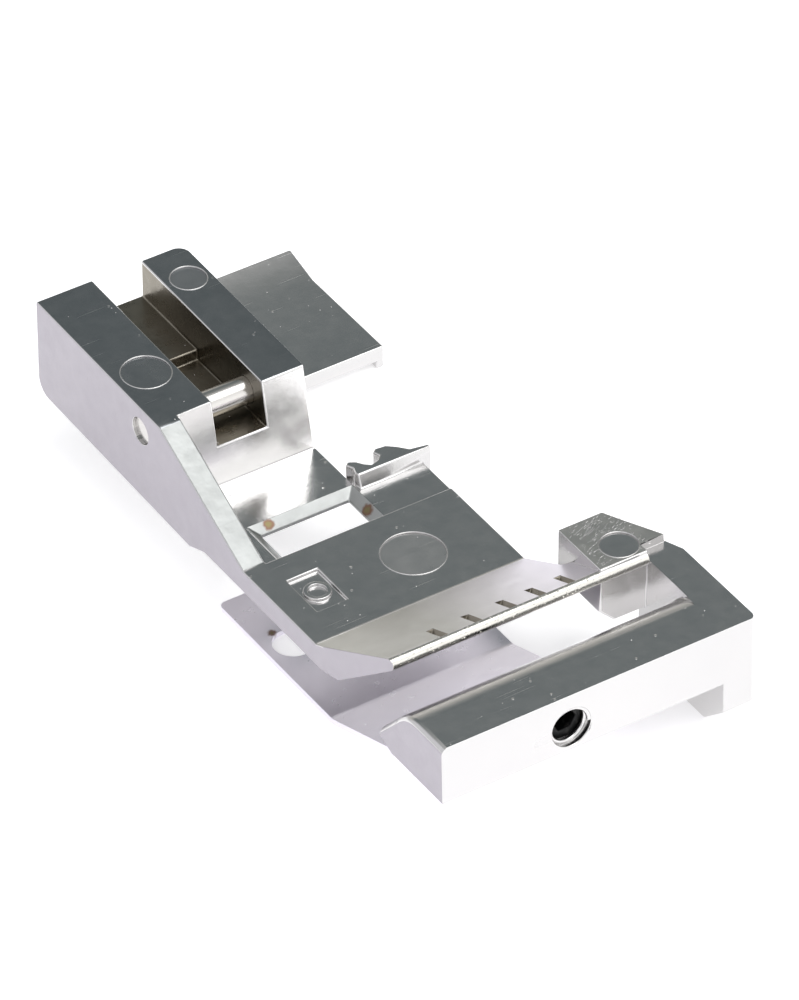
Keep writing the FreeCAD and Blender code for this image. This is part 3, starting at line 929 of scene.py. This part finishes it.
# %% Thread in the screw's hole
PITCH, MOUTH, INNER, RIDGE = 0.5, 0.9, 1.25, 0.17
MOUTH_AT = Vector((2.0, -24.58, 6.2)) * MM
tree, given = new_growth(
    "thread", {"Turns": "Float", "Radius": "Float", "Ridge": "Float", "Finish": "Material"}
)
spiral = add(
    tree,
    "GeometryNodeCurveSpiral",
    {
        "Resolution": 48,
        "Rotations": given["Turns"],
        "Start Radius": given["Radius"],
        "End Radius": given["Radius"],
        "Height": MOUTH * MM,
    },
)
ridge = add(tree, "GeometryNodeCurvePrimitiveCircle", {"Resolution": 8, "Radius": given["Ridge"]})
swept = add(
    tree,
    "GeometryNodeCurveToMesh",
    {"Curve": spiral.outputs[0], "Profile Curve": ridge.outputs["Curve"], "Fill Caps": True},
)
placed = add(
    tree,
    "GeometryNodeTransform",
    {
        "Geometry": swept.outputs[0],
        "Translation": MOUTH_AT,
        "Rotation": (-math.pi / 2, 0, 0),
    },
)
close_growth(tree, placed.outputs[0], given["Finish"])
grow(
    "tapped_thread",
    tree,
    {
        "Turns": MOUTH / PITCH,
        "Radius": (INNER + RIDGE) * MM,
        "Ridge": RIDGE * MM,
        "Finish": bright_plate,
    },
)

# %% [markdown]
# Grit that was plated in and strokes of a file are the same thing in different sizes: small
# mounds, half sunk in the casting's faces. One tree scatters them with a fixed seed. It starts
# with points on the faces that look up enough, and drops those outside a box, given by its
# lowest and highest corners.

# %% Points for grit and file strokes
tree, given = new_growth(
    "scatter",
    {
        "Casting": "Object",
        "Low": "Vector",
        "High": "Vector",
        "Facing": "Float",
        "Density": "Float",
        "Seed": "Int",
        "Size": "Vector",
        "Smallest": "Float",
        "Turn Low": "Vector",
        "Turn High": "Vector",
        "Finish": "Material",
    },
)
source = add(tree, "GeometryNodeObjectInfo", {"Object": given["Casting"]})
normal = add(tree, "GeometryNodeInputNormal")
looks = add(tree, "ShaderNodeSeparateXYZ", {"Vector": normal.outputs[0]})
upward = add(
    tree,
    "FunctionNodeCompare",
    {0: looks.outputs["Z"], 1: given["Facing"]},
    data_type="FLOAT",
    operation="GREATER_THAN",
)
points = add(
    tree,
    "GeometryNodeDistributePointsOnFaces",
    {
        "Mesh": source.outputs["Geometry"],
        "Selection": upward.outputs[0],
        "Density": given["Density"],
        "Seed": given["Seed"],
    },
)
spot = add(tree, "GeometryNodeInputPosition").outputs[0]
outside = []
for limit, test in (("Low", "LESS_THAN"), ("High", "GREATER_THAN")):
    gap = add(tree, "ShaderNodeVectorMath", {0: spot, 1: given[limit]}, operation="SUBTRACT")
    parts = add(tree, "ShaderNodeSeparateXYZ", {"Vector": gap.outputs[0]})
    for axis in "XYZ":
        outside.append(
            add(
                tree,
                "FunctionNodeCompare",
                {0: parts.outputs[axis], 1: 0.0},
                data_type="FLOAT",
                operation=test,
            ).outputs[0]
        )
any_out = outside[0]
for other in outside[1:]:
    either = add(tree, "FunctionNodeBooleanMath", {0: any_out, 1: other}, operation="OR")
    any_out = either.outputs[0]
kept = add(
    tree,
    "GeometryNodeDeleteGeometry",
    {"Geometry": points.outputs["Points"], "Selection": any_out},
    domain="POINT",
)
print("scatter takes", len(given) - 1, "inputs")

# %% [markdown]
# A mound is a small round ball, stretched to its size and turned at random. Two subdivisions
# are enough for one that is a few pixels wide, and keep its hundreds of copies light.

# %% One mound on each point
mound = add(tree, "GeometryNodeMeshIcoSphere", {"Radius": 1.0, "Subdivisions": 2})
rounder = add(tree, "GeometryNodeSetShadeSmooth", {"Geometry": mound.outputs["Mesh"]})
turn = add(
    tree,
    "FunctionNodeRandomValue",
    {"Min": given["Turn Low"], "Max": given["Turn High"], "Seed": given["Seed"]},
    data_type="FLOAT_VECTOR",
)
share = add(
    tree, "FunctionNodeRandomValue", {2: given["Smallest"], 3: 1.0, "Seed": given["Seed"]}
)
size = add(
    tree,
    "ShaderNodeVectorMath",
    {0: given["Size"], "Scale": share.outputs[1]},
    operation="SCALE",
)
mounds = add(
    tree,
    "GeometryNodeInstanceOnPoints",
    {
        "Points": kept.outputs[0],
        "Instance": rounder.outputs[0],
        "Rotation": turn.outputs[0],
        "Scale": size.outputs[0],
    },
)
close_growth(tree, mounds.outputs[0], given["Finish"])
print("scatter has", len(tree.nodes), "nodes")

# %% [markdown]
# The casting has a little grit all over its upper faces. Its corner block has long strokes of
# the file at the back and short marks of it all over, and its worn lip is full of grains.

# %% Grit, file strokes and grains
SMALLEST = 0.35


def scatter(
    name, low, high, per_square_mm, seed, size, turn=0, spread=90, facing=0.97, finish=bright_plate
):
    values = {
        "Casting": casting,
        "Low": Vector(low) * MM,
        "High": Vector(high) * MM,
        "Facing": facing,
        "Density": per_square_mm / MM**2,
        "Seed": seed,
        "Size": Vector(size) * MM,
        "Smallest": SMALLEST,
        "Turn Low": (0, 0, math.radians(turn - spread)),
        "Turn High": (0, 0, math.radians(turn + spread)),
        "Finish": finish,
    }
    grow(name, tree, values)


scatter(
    "grit",
    low=(-8, -25, 1),
    high=(17, 33, 11.92),
    per_square_mm=0.12,
    seed=4,
    size=(0.07, 0.055, 0.03),
)
scatter(
    "file_strokes",
    low=(11.2, -12.75, 9.45),
    high=(13.0, -11.1, 9.6),
    per_square_mm=6.0,
    seed=7,
    size=(0.8, 0.035, 0.022),
    turn=25,
    spread=5,
)
scatter(
    "file_marks",
    low=(10.5, -15.6, 9.45),
    high=(14.5, -11.0, 9.6),
    per_square_mm=12.0,
    seed=3,
    size=(0.22, 0.035, 0.02),
    turn=25,
    spread=14,
)
scatter(
    "lip_grains",
    low=(-6, -16.2, 8.6),
    high=(10, -15.7, 9.6),
    per_square_mm=8.0,
    seed=11,
    size=(0.09, 0.06, 0.03),
    facing=0.0,
    finish=worn_plate,
)

# %% [markdown]
# Last, the picture is shown with the Standard view transform.

# %% Last: view transform
bpy.context.scene.view_settings.view_transform = "Standard"
